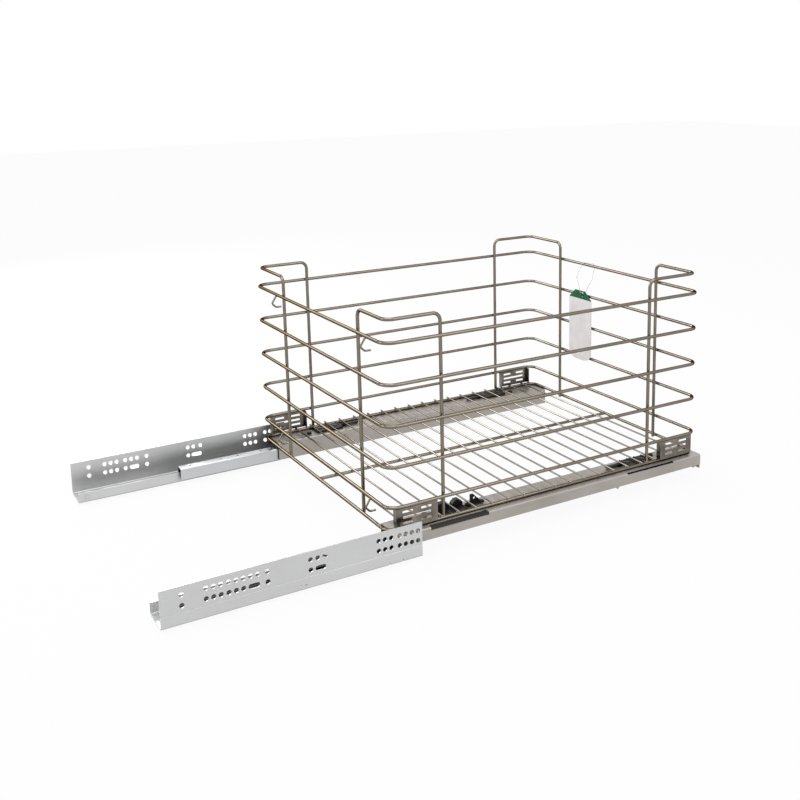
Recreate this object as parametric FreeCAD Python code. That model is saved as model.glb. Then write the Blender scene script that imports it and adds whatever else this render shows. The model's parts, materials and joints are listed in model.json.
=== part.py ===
import FreeCAD, Part
import math
import os

from FreeCAD import Vector

# Pull-out wire basket trolley on a pair of three-part undermount slides, pulled out of its cabinet.
# Millimetres. +Z is up, -Y is the way the basket pulls out, X runs across the cabinet.
# The origin is midway along the whole length, on the centre line, level with the slides' underside.
# Each piece is drawn for the right side (+X) and mirrored for the left.

os.makedirs("parts", exist_ok=True)

# Basket wires
ring_inset = 8.0            # centre of the side wires inboard of the drawer rail's outer face
ring_depth = 500.0          # centre to centre of the front and rear wires
ring_corner = 16.0          # bend radius of the rings, on the wire's centre line
ring_count = 5
first_ring_rise = 30.0      # lowest ring above the floor frame
ring_pitch = 51.5           # from one ring to the next
wire_d = 4.5                # rings, floor frame, corner posts and centre bar
rod_d = 2.5                 # cross rods of the floor
rod_count = 19
rod_pitch = 25.0
rod_overhang = 1.0          # past the floor frame's outer side
post_rise = 27.5            # top of a corner post above the top ring
post_bend = 10.0            # bend at each shoulder of a post
post_reach = {              # how far each post's legs stand from its corner, along X and along Y
    "rear_right": (96.0, 79.0),
    "rear_left": (78.0, 79.0),
    "front_right": (91.0, 79.0),
    "front_left": (87.0, 89.0),
}

# Bag hooks on the rear of the basket
hook_d = 2.6
hook_x = {"right": 126.0, "left": -160.0}
hook_out = 8.0              # how far a hook swings out behind its ring
hook_drop = 12.0
hook_tip = 6.0
hook_lip = 14.0
hook_bend = 2.0

# Panel brackets between the floor frame and the lowest ring
plate_width = 58.0
plate_from_end = 39.0       # its middle from the end wire of the basket
plate_t = 1.2
plate_flange = 8.0          # reaches in over the floor frame and stands on it
slot_h = 3.2
slot_short = 15.0
slot_long = 40.0
slot_spread = 26.0          # between the two short slots of a row
slot_row = 7.2              # from one row of slots to the next
plate_row_up = 0.6          # middle row of slots above the plate's middle

# Slides
slide_half = 221.0          # outer face of the cabinet rail from the centre line
sheet = 1.5                 # steel of all rails
rail_bend = 1.6             # bend radius of the steel, on its middle line
rail_length = 320.0         # cabinet rail
web_height = 45.5
channel_width = 42.0        # cabinet rail, outer face to the lip's inboard face
lip_height = 14.5
crease_z = 14.8
crease_depth = 0.5
crease_h = 1.6
drawer_length = 494.5
side_gap = 6.0              # from the cabinet rail's outer face to the drawer rail's
drawer_width = 46.5
drawer_side = 15.7          # height of its outer wall
drawer_inner = 26.7         # height of its inner wall
drawer_front_h = 21.0       # height of its closed front end
drawer_top = 31.75          # top face above the underside of the slides
middle_length = 408.0
middle_top = 22.0
middle_bottom = 5.2
middle_gap = 2.1            # from the drawer rail's inner wall to the middle rail
top_hole_d = 3.4
top_hole_at = (16.0, 62.0, 88.0, 124.0, 142.0)      # holes in its top, from the rear end

# Places along the slide, basket pulled out
drawer_overhang = 2.5       # drawer rail's front end before the front wire
cabinet_overlap = 30.0      # of the cabinet rail and the drawer rail
middle_overlap = 179.0      # of the cabinet rail and the middle rail
travel = 455.0

# Rolling elements
balls_up = 1.0              # balls above the middle of the lip's free height
ball_pitch = 15.0
roller_gap = 0.3            # clear all round a ball or roller
cage_t = 1.2
cage_leg = 2.0
pocket_clear = 0.15         # a ball or roller in its pocket
lower_cage_length = 165.0
lower_cage_inset = 7.0      # from the cabinet rail's front end, basket pulled out
upper_cage_length = 240.0
upper_cage_inset = 8.0      # from the middle rail's front end, basket pulled out
roller_length = 9.0
roller_pitch = 24.0

# Screw holes of the cabinet rails, from the front end
hole_d = 6.0
hole_pitch = 8.4
row_low = 22.6              # above the slides' underside
row_gap = 12.5


def holes(first, count):
    """Distances of equally spaced holes from the rail's front end."""
    return [first + hole_pitch * i for i in range(count)]


both_rows = {
    "left": holes(6.0, 4) + holes(42.4, 3) + [146.4, 198.4] + holes(226.8, 3) + holes(252.4, 3) + [296.0],
    "right": holes(7.4, 4) + holes(48.2, 3) + [153.3, 214.3, 245.0] + holes(257.2, 3) + [296.0],
}
upper_row = {"left": [137.5] + holes(209.9, 2), "right": [134.3, 145.0] + holes(228.2, 2)}
low_slots = {"left": ((134.0, 13.5), (214.4, 13.8)), "right": ((140.6, 16.0), (232.4, 14.0))}
slant_slot = {"left": [128.2], "right": []}
slant_length = 7.5
slant_width = 2.6
slant_angle = 25.0
pilot_d = 2.4
pilot_at = (152.9, 159.4)
pilot_z = 6.0
notch_at = (27.0, 45.0)
notch_w = 3.3
notch_h = 4.2
flange_rivet_d = 5.0
flange_rivet_h = 1.2
flange_rivet_at = 309.0

# Front fixing clips between the basket and the drawer rails
clip_from_end = 97.0        # middle of a clip from the end wire of the basket
clip_length = 42.0
clip_in = 15.0              # its outer side inboard of the drawer rail's outer face
clip_width = 24.0
clip_clear = 0.4            # under the cross rods
clip_rib_w = 1.6
clip_rib_h = 1.0
clip_rib_count = 7
ridge_w = 7.5               # raised ridges of the rear left clip, between the cross rods
ridge_h = 9.0               # above the clip's flat top
ridge_slope = 5.0
ridge_clear = 1.2           # from the rods
window_front = (49.0, 133.0, 4.5, 2.2)      # drawer rail windows: start and end from the end wire,
window_rear = (54.0, 139.0, 9.0, 4.5)       # reach in from the outer face, and reach down from the top
lever_width = 6.0
lever_t = 2.4
lever_gap = 0.3
pivot_in = 10.0             # lever pivot from the clip's inboard side
pivot_past = 5.0            # and past its end, towards the middle of the basket
fin_past = 10.0             # upright side of the rear left lever's fin past the same end
fin_margin = 2.0
fin_h = 11.4
fin_length = 18.0
fin_t = 2.4
fin_hole_d = 3.6
pin_d = 3.0
pin_clear = 0.1
ear_half = 4.0              # tongue of the clip that carries the pivot
ear_t = 1.2
rivet_d = 3.2
rivet_clear = 0.1
rivet_head_d = 6.4
rivet_head_h = 0.9
rivet_spread = 26.0
adjuster_in = 34.0          # inboard of the drawer rail's outer face
adjuster_from_end = 63.0
adjuster_d = 4.0
adjuster_head_d = 7.0
adjuster_head_h = 3.6

# Self-closing unit inside each drawer rail, and the pin that works it
unit_front = 9.0            # from the drawer rail's front end
unit_length = 130.0
unit_w = 18.0
unit_h = 9.0
unit_slot_w = 4.4
unit_slot_start = 15.0      # from the unit's front end
unit_slot_over = 0.8        # above the pin's top
unit_in = 17.0              # its middle inboard of the drawer rail's outer face
unit_round = 2.0
striker_d = 3.6
striker_top = 24.0          # above the underside of the slides
striker_foot_d = 8.0
striker_foot_h = 1.6
striker_at = 20.0           # from the cabinet rail's front end
button_d = 5.0
button_h = 4.0
button_clear = 0.9          # from the wall's inside
button_at = (9.0, 150.0)    # from the drawer rail's front end

# Swing ticket on the front of the basket
ticket_from_post = 55.0     # its middle from the leg of the front right post
ticket_w = 58.0
ticket_h = 116.0
ticket_t = 0.8
ticket_clear = 2.2          # inside the rings' front wires
ticket_drop = 43.5          # from the top ring to the ticket's top edge
ticket_shoulder = 13.5
ticket_top_w = 26.0
ticket_corner = 18.0
ticket_slot_w = 5.0
ticket_slot_h = 9.0         # bottom of the slot under the ticket's top edge
ticket_slot_top = 2.0
ticket_slot_off = 6.0       # slot from the ticket's middle, away from the post
loop_d = 1.0
loop_clear = 0.5
loop_rise = 0.3
loop_bend = 1.2
loop_slit = 0.05            # half the gap where its two ends meet in the slot
loop_half_top = 11.0
loop_half_mid = 18.0
loop_half_under = 12.0
loop_half_low = 4.0
loop_lean = 8.0             # its top further from the post than the slot

# Values that follow
wire_r = wire_d / 2
loop_r = loop_d / 2
rod_r = rod_d / 2
drawer_half = slide_half - side_gap                # outer face of the drawer rail
half_w = drawer_half - ring_inset                  # side wires of the basket
half_d = ring_depth / 2                            # front and rear wires
post_x = half_w - wire_d                           # posts stand just inside the rings, over the floor frame
post_y = half_d - wire_d
drawer_front = -half_d - drawer_overhang
drawer_rear = drawer_front + drawer_length
cabinet_front = drawer_rear - cabinet_overlap
cabinet_rear = cabinet_front + rail_length
middle_rear = cabinet_front + middle_overlap
basket_y = -(drawer_front + cabinet_rear) / 2      # basket's middle in the part's own frame
frame_z = drawer_top + wire_r                      # the floor frame lies on the drawer rails
ring_z = [frame_z + first_ring_rise + ring_pitch * i for i in range(ring_count)]
rod_z = frame_z + wire_r + rod_r
lip_inner = slide_half - channel_width
middle_inner = drawer_half - drawer_width + sheet + middle_gap
lower_gap = lip_inner - (middle_inner + sheet)     # from the middle rail's wall to the lip
middle_outer = lip_inner + sheet + lower_gap + sheet
balls_z = middle_bottom + (lip_height - middle_bottom) / 2 + balls_up
under_drawer = drawer_top - sheet
roller_d = under_drawer - middle_top - 2 * roller_gap
top_roller_d = middle_top - sheet - lip_height - 2 * roller_gap
ball_d = lower_gap - 2 * roller_gap
lower_cage_front = cabinet_front + lower_cage_inset
upper_cage_front = middle_rear - middle_length + upper_cage_inset
plate_centre = half_d - plate_from_end
clip_centre = half_d - clip_from_end
clip_outer = drawer_half - clip_in
clip_inner = clip_outer - clip_width
clip_near = clip_centre - clip_length / 2          # its end towards the middle of the basket
pivot_x = clip_inner + pivot_in
pivot_y = clip_near - pivot_past
fin_start = clip_near - fin_past
lever_low = drawer_top + ear_t + lever_gap
adjuster_x = drawer_half - adjuster_in
adjuster_y = half_d - adjuster_from_end
unit_x = drawer_half - unit_in
ticket_x = half_w - post_reach["front_right"][0] - ticket_from_post
ticket_y = -half_d + wire_r + ticket_clear + ticket_t / 2
loop_x = ticket_x - ticket_slot_off

made = []


def save(name, shape):
    """Write one node and keep its name."""
    solids = shape.Solids
    if not solids or not shape.isValid():
        raise ValueError("bad shape: " + name)
    if len(solids) == 1:
        solids[0].exportStep("parts/" + name + ".step")
    else:
        Part.makeCompound(solids).exportStep("parts/" + name + ".step")
    made.append(name)


def put(shape, side="right"):
    """Move a shape from the basket's middle to the part's frame, mirrored for the left side."""
    if side == "left":
        shape = shape.mirror(Vector(0, 0, 0), Vector(1, 0, 0))
    return shape.translated(Vector(0, basket_y, 0))


def box(x0, x1, y0, y1, z0, z1):
    return Part.makeBox(x1 - x0, y1 - y0, z1 - z0, Vector(x0, y0, z0))


def rod(start, direction, length, diameter):
    return Part.makeCylinder(diameter / 2, length, Vector(*start), Vector(*direction))


def join(shapes):
    solid = shapes[0]
    if len(shapes) > 1:
        solid = shapes[0].fuse(shapes[1:])
    return solid.removeSplitter()


def bent_edges(points, radii, closed=False):
    """Straight runs joined by tangent arcs, through corner points with a radius each."""
    corners = [Vector(*p) for p in points]
    count = len(corners)
    starts = list(corners)
    ends = list(corners)
    mids = [None] * count
    inner = range(count) if closed else range(1, count - 1)
    for i in inner:
        here = corners[i]
        back = (corners[i - 1] - here).normalize()
        ahead = (corners[(i + 1) % count] - here).normalize()
        half = back.getAngle(ahead) / 2
        reach = radii[i] / math.tan(half)
        centre = here + (back + ahead).normalize() * (radii[i] / math.sin(half))
        starts[i] = here + back * reach
        ends[i] = here + ahead * reach
        mids[i] = centre + (here - centre).normalize() * radii[i]
    edges = []
    for i in range(count if closed else count - 1):
        after = (i + 1) % count
        edges.append(Part.LineSegment(ends[i], starts[after]).toShape())
        if mids[after] is not None:
            edges.append(Part.Arc(starts[after], mids[after], ends[after]).toShape())
    return edges


def tube(edges, diameter):
    """A round wire along a path of runs and arcs."""
    first = edges[0]
    start = first.valueAt(first.FirstParameter)
    heading = first.tangentAt(first.FirstParameter)
    profile = Part.Wire([Part.Circle(start, heading, diameter / 2).toShape()])
    return outward(Part.Wire(edges).makePipeShell([profile], True, False))


def outward(shape):
    return shape if shape.Volume > 0 else shape.reversed()


def strip(points, thickness, bend, y0, y1):
    """A folded steel strip: a section in X and Z along its middle line, drawn out along Y."""
    flat = [(x, y0, z) for x, z in points]
    count = len(flat)
    middle = [Vector(*p) for p in flat]
    sides = []
    for sign in (1, -1):
        run = []
        for i in range(count):
            back = (middle[i] - middle[max(i - 1, 0)])
            ahead = (middle[min(i + 1, count - 1)] - middle[i])
            if i == 0:
                back = ahead
            if i == count - 1:
                ahead = back
            back = Vector(back).normalize()
            ahead = Vector(ahead).normalize()
            left_back = Vector(-back.z, 0, back.x)
            left_ahead = Vector(-ahead.z, 0, ahead.x)
            mitre = (left_back + left_ahead).normalize()
            scale = 1 / mitre.dot(left_back)
            run.append(middle[i] + mitre * (sign * scale * thickness / 2))
        radii = [bend] * count
        for i in range(1, count - 1):
            back = middle[i] - middle[i - 1]
            ahead = middle[i + 1] - middle[i]
            turn = back.z * ahead.x - back.x * ahead.z
            radii[i] = bend + math.copysign(thickness / 2, turn * sign)
        sides.append(bent_edges([(p.x, p.y, p.z) for p in run], radii))
    caps = [
        Part.LineSegment(sides[0][0].Vertexes[0].Point, sides[1][0].Vertexes[0].Point).toShape(),
        Part.LineSegment(sides[0][-1].Vertexes[-1].Point, sides[1][-1].Vertexes[-1].Point).toShape(),
    ]
    outline = Part.Wire(Part.__sortEdges__(sides[0] + sides[1] + caps))
    return outward(Part.Face(outline).extrude(Vector(0, y1 - y0, 0)))


def prism(points, direction):
    """A flat outline of points, drawn out along a direction."""
    corners = [Vector(*p) for p in points]
    face = Part.Face(Part.makePolygon(corners + corners[:1]))
    return outward(face.extrude(Vector(*direction)))


def slot_x(y, z, length, height, x0, x1):
    """A round-ended slot along Y, cut through along X."""
    straight = length - height
    parts = [box(x0, x1, y - straight / 2, y + straight / 2, z - height / 2, z + height / 2)]
    for end in (-1, 1):
        parts.append(rod((x0, y + end * straight / 2, z), (1, 0, 0), x1 - x0, height))
    return join(parts)


# Basket

def ring(z, half_x):
    """One closed ring of wire at height z, with its side wires half_x from the middle."""
    corners = [(half_x, -half_d, z), (half_x, half_d, z), (-half_x, half_d, z), (-half_x, -half_d, z)]
    return tube(bent_edges(corners, [ring_corner] * len(corners), closed=True), wire_d)


for level, height in enumerate(ring_z):
    save("ring_%d" % (level + 1), put(ring(height, half_w)))
save("floor_frame", put(ring(frame_z, post_x)))


def floor_rods():
    """Thin cross rods that lie across the floor frame."""
    reach = post_x + wire_r + rod_overhang
    rods = []
    for i in range(rod_count):
        y = (i - (rod_count - 1) / 2) * rod_pitch
        rods.append(rod((-reach, y, rod_z), (1, 0, 0), 2 * reach, rod_d))
    return Part.makeCompound(rods)


save("floor_rods", put(floor_rods()))
save("floor_centre_bar", put(rod((0, -half_d + wire_r, frame_z), (0, 1, 0), ring_depth - wire_d, wire_d)))


def corner_post(front, right, reach):
    """One wire: up, over the corner beside the rings, and down again onto the floor frame."""
    sx = 1 if right else -1
    sy = -1 if front else 1
    top = ring_z[-1] + post_rise
    leg_x = sx * (half_w - reach[0])
    leg_y = sy * (half_d - reach[1])
    side_x = sx * post_x
    end_y = sy * post_y
    points = [
        (leg_x, end_y, drawer_top),
        (leg_x, end_y, top),
        (side_x, end_y, top),
        (side_x, leg_y, top),
        (side_x, leg_y, frame_z + wire_r),
    ]
    return tube(bent_edges(points, [0, post_bend, ring_corner - wire_d, post_bend, 0]), wire_d)


for corner, reach in post_reach.items():
    save("post_" + corner, put(corner_post("front" in corner, "right" in corner, reach)))


def hook(x, z):
    """A wire hook that hangs behind a ring, in the plane across the rear wire."""
    slope = Vector(0, hook_out, -hook_drop).normalize()
    root = Vector(x, half_d, z) + slope * wire_r
    points = [
        tuple(root),
        (x, half_d + hook_out, z - hook_drop),
        (x, half_d + hook_out - hook_tip, z - hook_drop - hook_tip),
        (x, half_d + hook_out - hook_lip, z - hook_drop - hook_tip),
    ]
    return tube(bent_edges(points, [hook_bend] * len(points)), hook_d)


for name, height in (("upper_hooks", ring_z[-1]), ("lower_hooks", ring_z[0])):
    save(name, put(Part.makeCompound([hook(x, height) for x in hook_x.values()])))


def panel_bracket(end):
    """A slotted plate between the floor frame and the lowest ring, with a flange at each end."""
    middle = end * plate_centre
    half = plate_width / 2
    low = frame_z + wire_r
    high = ring_z[0] - wire_r
    face = half_w + plate_t / 2
    parts = [box(face - plate_t, face, middle - half, middle + half, low, high)]
    for side in (-1, 1):
        edge = middle + side * half
        y0 = min(edge, edge - side * plate_t)
        parts.append(box(face - plate_flange, face, y0, y0 + plate_t, low, high))
    plate = join(parts)
    row = (low + high) / 2 + plate_row_up
    cuts = [slot_x(middle, row, slot_long, slot_h, face - 2 * plate_t, face + plate_t)]
    for level in (-1, 1):
        for side in (-1, 1):
            y = middle + side * slot_spread / 2
            z = row + level * slot_row
            cuts.append(slot_x(y, z, slot_short, slot_h, face - 2 * plate_t, face + plate_t))
    return plate.cut(cuts)


for side in ("left", "right"):
    for end_name, end in (("front", -1), ("rear", 1)):
        save("bracket_%s_%s" % (end_name, side), put(panel_bracket(end), side))


# Slides

def hole_row(distances, z):
    """Round holes through the web, along the cabinet rail."""
    cuts = []
    for distance in distances:
        cuts.append(rod((slide_half - 2 * sheet, cabinet_front + distance, z), (1, 0, 0), 3 * sheet, hole_d))
    return cuts


def cabinet_rail(side):
    """J-shaped rail that is screwed to the cabinet side: web, floor and an upturned lip."""
    half_t = sheet / 2
    web_x = slide_half - half_t
    points = [
        (web_x, web_height),
        (web_x, half_t),
        (lip_inner + half_t, half_t),
        (lip_inner + half_t, lip_height),
    ]
    rail = strip(points, sheet, rail_bend, cabinet_front, cabinet_rear)
    high = row_low + row_gap
    cuts = hole_row(both_rows[side], row_low) + hole_row(both_rows[side] + upper_row[side], high)
    inside = slide_half - 2 * sheet
    outside = slide_half + sheet
    for distance, length in low_slots[side]:
        cuts.append(slot_x(cabinet_front + distance, row_low, length, hole_d, inside, outside))
    for distance in slant_slot[side]:
        slant = slot_x(cabinet_front + distance, high, slant_length, slant_width, inside, outside)
        slant.rotate(Vector(0, cabinet_front + distance, high), Vector(1, 0, 0), slant_angle)
        cuts.append(slant)
    for distance in pilot_at:
        cuts.append(rod((inside, cabinet_front + distance, pilot_z), (1, 0, 0), 3 * sheet, pilot_d))
    for distance in notch_at:
        y = cabinet_front + distance
        bottom = [(inside, y - notch_w, -notch_h), (inside, y, notch_h), (inside, y + notch_w, -notch_h)]
        cuts.append(prism(bottom, (3 * sheet, 0, 0)))
    groove = [
        (slide_half, cabinet_front, crease_z - crease_h / 2),
        (slide_half - crease_depth, cabinet_front, crease_z),
        (slide_half, cabinet_front, crease_z + crease_h / 2),
    ]
    cuts.append(prism(groove, (0, rail_length, 0)))
    return rail.cut(cuts)


def middle_rail():
    """Inverted channel that runs over the cabinet rail's lip on balls and rollers."""
    half_t = sheet / 2
    top = middle_top - half_t
    points = [
        (middle_inner + half_t, middle_bottom),
        (middle_inner + half_t, top),
        (middle_outer - half_t, top),
        (middle_outer - half_t, middle_bottom),
    ]
    front = middle_rear - middle_length
    rail = strip(points, sheet, rail_bend, front, middle_rear)
    cuts = []
    x = (middle_inner + middle_outer) / 2
    low = middle_top - 2 * sheet
    for distance in top_hole_at:
        cuts.append(rod((x, middle_rear - distance, low), (0, 0, 1), 3 * sheet, top_hole_d))
    return rail.cut(cuts)


def drawer_rail():
    """Wide inverted channel under the basket, closed at its front end."""
    half_t = sheet / 2
    inner = drawer_half - drawer_width + half_t
    outer = drawer_half - half_t
    top = drawer_top - half_t
    points = [
        (inner, drawer_top - drawer_inner),
        (inner, top),
        (outer, top),
        (outer, drawer_top - drawer_side),
    ]
    rail = strip(points, sheet, rail_bend, drawer_front, drawer_rear)
    end = box(inner, outer, drawer_front, drawer_front + sheet, drawer_top - drawer_front_h, top)
    rail = join([rail, end])
    edge = drawer_half + sheet
    cuts = []
    for end_side, (first, last, reach_in, reach_down) in ((-1, window_front), (1, window_rear)):
        y0, y1 = sorted((end_side * (half_d - first), end_side * (half_d - last)))
        cuts.append(box(drawer_half - reach_in, edge, y0, y1, drawer_top - reach_down, drawer_top + sheet))
    for end_side in (-1, 1):
        for x, y in rivet_places(end_side):
            cuts.append(rod((x, y, under_drawer - sheet), (0, 0, 1), 3 * sheet, rivet_d + rivet_clear))
        screw = (adjuster_x, end_side * adjuster_y, under_drawer - sheet)
        cuts.append(rod(screw, (0, 0, 1), 3 * sheet, adjuster_d))
    return rail.cut(cuts)


def rivet_places(end_side):
    """Where the two rivets of a clip stand."""
    x = (clip_inner + clip_outer) / 2
    middle = end_side * clip_centre
    return [(x, middle - rivet_spread / 2), (x, middle + rivet_spread / 2)]


def rolling_places(length, pitch):
    """Distances of evenly spaced balls or rollers along a cage."""
    count = int((length - pitch / 2) // pitch) + 1
    start = (length - (count - 1) * pitch) / 2
    return [start + i * pitch for i in range(count)]


def lower_cage():
    """Plastic strip folded over the lip, with a pocket for each ball and roller."""
    x0 = middle_inner + sheet + lower_gap / 2 - cage_leg / 2
    x1 = middle_outer - sheet - lower_gap / 2 + cage_leg / 2
    roller_z = lip_height + roller_gap + top_roller_d / 2
    y0 = lower_cage_front
    y1 = y0 + lower_cage_length
    parts = [box(x0, x1, y0, y1, roller_z - cage_t / 2, roller_z + cage_t / 2)]
    for x in (x0, x1 - cage_leg):
        parts.append(box(x, x + cage_leg, y0, y1, middle_bottom + cage_t, roller_z))
    cage = join(parts)
    cuts = []
    for place in rolling_places(lower_cage_length, ball_pitch):
        for x in (x0 - cage_leg, x1 - 2 * cage_leg):
            cuts.append(rod((x, y0 + place, balls_z), (1, 0, 0), 3 * cage_leg, ball_d + 2 * pocket_clear))
    half_y = top_roller_d / 2 + pocket_clear
    for place in rolling_places(lower_cage_length, 2 * ball_pitch):
        y = y0 + place
        low = roller_z - cage_t
        high = roller_z + cage_t
        cuts.append(box(x0 + cage_leg, x1 - cage_leg, y - half_y, y + half_y, low, high))
    return cage.cut(cuts)


def lower_balls():
    balls = []
    for place in rolling_places(lower_cage_length, ball_pitch):
        for x in (middle_inner + sheet + lower_gap / 2, middle_outer - sheet - lower_gap / 2):
            balls.append(Part.makeSphere(ball_d / 2, Vector(x, lower_cage_front + place, balls_z)))
    return Part.makeCompound(balls)


def lip_rollers():
    x0 = middle_inner + sheet + lower_gap / 2 + cage_leg / 2 + pocket_clear
    x1 = middle_outer - sheet - lower_gap / 2 - cage_leg / 2 - pocket_clear
    z = lip_height + roller_gap + top_roller_d / 2
    rollers = []
    for place in rolling_places(lower_cage_length, 2 * ball_pitch):
        rollers.append(rod((x0, lower_cage_front + place, z), (1, 0, 0), x1 - x0, top_roller_d))
    return Part.makeCompound(rollers)


def upper_cage():
    """Flat plastic strip between the middle rail's top and the drawer rail."""
    middle = (middle_inner + middle_outer) / 2
    half = roller_length / 2 + pocket_clear + cage_leg
    z = middle_top + roller_gap + roller_d / 2
    y0 = upper_cage_front
    cage = box(middle - half, middle + half, y0, y0 + upper_cage_length, z - cage_t / 2, z + cage_t / 2)
    half_x = roller_length / 2 + pocket_clear
    half_y = roller_d / 2 + pocket_clear
    cuts = []
    for place in rolling_places(upper_cage_length, roller_pitch):
        y = y0 + place
        cuts.append(box(middle - half_x, middle + half_x, y - half_y, y + half_y, z - cage_t, z + cage_t))
    return cage.cut(cuts)


def upper_rollers():
    middle = (middle_inner + middle_outer) / 2
    z = middle_top + roller_gap + roller_d / 2
    rollers = []
    for place in rolling_places(upper_cage_length, roller_pitch):
        start = (middle - roller_length / 2, upper_cage_front + place, z)
        rollers.append(rod(start, (1, 0, 0), roller_length, roller_d))
    return Part.makeCompound(rollers)


def closing_unit():
    """Plastic case of the self-closing damper, with the slot that its pin runs in."""
    y0 = drawer_front + unit_front
    high = under_drawer
    unit = box(unit_x - unit_w / 2, unit_x + unit_w / 2, y0, y0 + unit_length, high - unit_h, high)
    edges = [e for e in unit.Edges if abs(e.tangentAt(e.FirstParameter).z) > 0.9]
    unit = unit.makeFillet(unit_round, edges)
    low = high - unit_h - sheet
    top = striker_top + unit_slot_over
    half = unit_slot_w / 2
    slot = box(unit_x - half, unit_x + half, y0 + unit_slot_start, y0 + unit_length + sheet, low, top)
    return unit.cut(slot)


def striker():
    """Headed pin that stands on the cabinet rail's floor and works the closing unit."""
    y = cabinet_front + striker_at
    foot = rod((unit_x, y, sheet), (0, 0, 1), striker_foot_h, striker_foot_d)
    pin = rod((unit_x, y, sheet), (0, 0, 1), striker_top - sheet, striker_d)
    return join([foot, pin])


def guide_buttons():
    """Small nylon glides under the drawer rail's outer wall."""
    buttons = []
    x = drawer_half - sheet - button_clear - button_d / 2
    for distance in button_at:
        y = drawer_front + distance
        low = drawer_top - drawer_side - button_h / 2
        stem = rod((x, y, low), (0, 0, 1), under_drawer - low, button_d)
        buttons.append(stem.fuse(Part.makeSphere(button_d / 2, Vector(x, y, low))).removeSplitter())
    return Part.makeCompound(buttons)


def lip_rivet():
    """Rivet at the rear end of the cabinet rail's lip."""
    y = cabinet_front + flange_rivet_at
    z = lip_height / 2 + sheet / 2
    head = rod((lip_inner - flange_rivet_h, y, z), (1, 0, 0), flange_rivet_h, flange_rivet_d)
    return head


def ridge(y0, y1, low):
    """A raised ridge with sloping ends along the clip's inboard side."""
    x = clip_inner + clip_rib_w / 2
    outline = [
        (x, y0, low),
        (x, y0, low + ridge_h / 2),
        (x, y0 + ridge_slope, low + ridge_h),
        (x, y1 - ridge_slope, low + ridge_h),
        (x, y1, low + ridge_h / 2),
        (x, y1, low),
    ]
    return prism(outline, (ridge_w, 0, 0))


def clip_body(end_side, raised):
    """Black fixing clip on the drawer rail, under the cross rods."""
    middle = end_side * clip_centre
    half = clip_length / 2
    top = rod_z - rod_r - clip_clear
    base_top = top - clip_rib_h
    parts = [box(clip_inner, clip_outer, middle - half, middle + half, drawer_top, base_top)]
    rib_span = clip_length - 2 * clip_rib_w
    for i in range(clip_rib_count):
        y = middle - rib_span / 2 + rib_span * i / (clip_rib_count - 1)
        if all(abs(y - place[1]) > rivet_head_d / 2 + clip_rib_w / 2 for place in rivet_places(end_side)):
            parts.append(box(clip_inner, clip_outer, y - clip_rib_w / 2, y + clip_rib_w / 2, base_top, top))
    if raised:
        clear = rod_r + ridge_clear
        rods_over = [rod_pitch * i for i in range(rod_count) if abs(rod_pitch * i - clip_centre) < rod_pitch]
        first, last = rods_over[0], rods_over[-1]
        parts.append(ridge(max(first - rod_pitch + clear, middle - half), first - clear, base_top))
        parts.append(ridge(first + clear, min(last - clear, middle + half), base_top))
    ear_y0, ear_y1 = sorted((end_side * clip_near, end_side * (pivot_y - ear_half)))
    parts.append(box(pivot_x - ear_half, pivot_x + ear_half, ear_y0, ear_y1, drawer_top, drawer_top + ear_t))
    clip = join(parts)
    cuts = []
    for x, y in rivet_places(end_side):
        cuts.append(rod((x, y, drawer_top - sheet), (0, 0, 1), 3 * clip_length, rivet_d + rivet_clear))
    pin = (pivot_x, end_side * pivot_y, drawer_top - ear_t)
    cuts.append(rod(pin, (0, 0, 1), 3 * ear_t, pin_d + pin_clear))
    return clip.cut(cuts)


def clip_lever(end_side, finned):
    """Release lever past the end of the clip. One has a thumb fin that stands up between two cross rods."""
    high = lever_low + lever_t
    pivot = end_side * pivot_y
    near = end_side * fin_start
    far = end_side * (fin_start - fin_length)
    tip = far - end_side * fin_margin
    y0, y1 = sorted((tip, pivot))
    half = lever_width / 2
    bar = box(pivot_x - half, pivot_x + half, y0, y1, lever_low, high)
    eye = rod((pivot_x, pivot, lever_low), (0, 0, 1), lever_t, lever_width)
    parts = [bar, eye]
    cuts = [rod((pivot_x, pivot, lever_low - lever_t), (0, 0, 1), 3 * lever_t, pin_d + pin_clear)]
    if finned:
        fin = [
            (pivot_x - fin_t / 2, near, lever_low),
            (pivot_x - fin_t / 2, near, high + fin_h),
            (pivot_x - fin_t / 2, near - end_side * fin_length / 4, high + fin_h),
            (pivot_x - fin_t / 2, far, lever_low),
        ]
        hole_at = (pivot_x - lever_width, near - end_side * fin_length / 3, high + fin_h / 2)
        parts.append(prism(fin, (fin_t, 0, 0)))
        cuts.append(rod(hole_at, (1, 0, 0), 2 * lever_width, fin_hole_d))
    return join(parts).cut(cuts)


def clip_pins():
    pins = []
    length = ear_t + lever_gap + lever_t + lever_gap
    for sx in (-1, 1):
        for sy in (-1, 1):
            pins.append(rod((sx * pivot_x, sy * pivot_y, drawer_top), (0, 0, 1), length, pin_d))
    return Part.makeCompound(pins)


def clip_rivets():
    """Flush-ended rivets that hold the clips to the drawer rails."""
    rivets = []
    base_top = rod_z - rod_r - clip_clear - clip_rib_h
    for sx in (-1, 1):
        for end_side in (-1, 1):
            for x, y in rivet_places(end_side):
                shank = rod((sx * x, y, under_drawer), (0, 0, 1), base_top - under_drawer, rivet_d)
                head = rod((sx * x, y, base_top), (0, 0, 1), rivet_head_h, rivet_head_d)
                rivets.append(join([shank, head]))
    return Part.makeCompound(rivets)


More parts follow.
